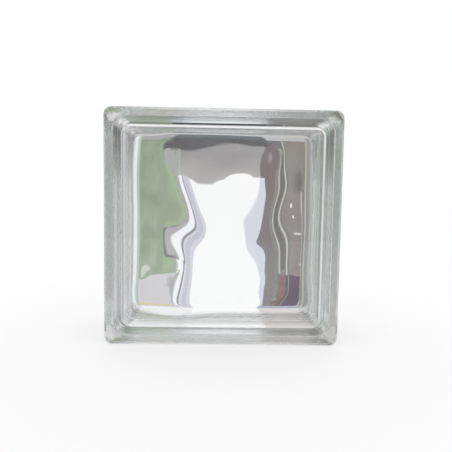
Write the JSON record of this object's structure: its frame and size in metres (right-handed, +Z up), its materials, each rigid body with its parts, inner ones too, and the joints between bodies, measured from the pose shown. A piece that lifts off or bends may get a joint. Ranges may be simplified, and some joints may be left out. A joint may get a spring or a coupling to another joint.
{
  "type": "glass block",
  "caption": "Hollow square glass block for walls: pressed dishes fused rim to rim, with wavy panes and a mortar groove round the edge.",
  "frame": {"origin": "middle of the underside, on the level that the block stands on", "axes": "+Z up, +X along the block's width, front pane facing -Y; the fused seam is the plane Y = 0"},
  "size_m": [0.19, 0.08, 0.19],
  "materials": {
    "clear_glass": "clear, pressed and fire-polished"
  },
  "bodies": {
    "root": {"front_half": "clear_glass", "rear_half": "clear_glass"}
  },
  "joints": []
}
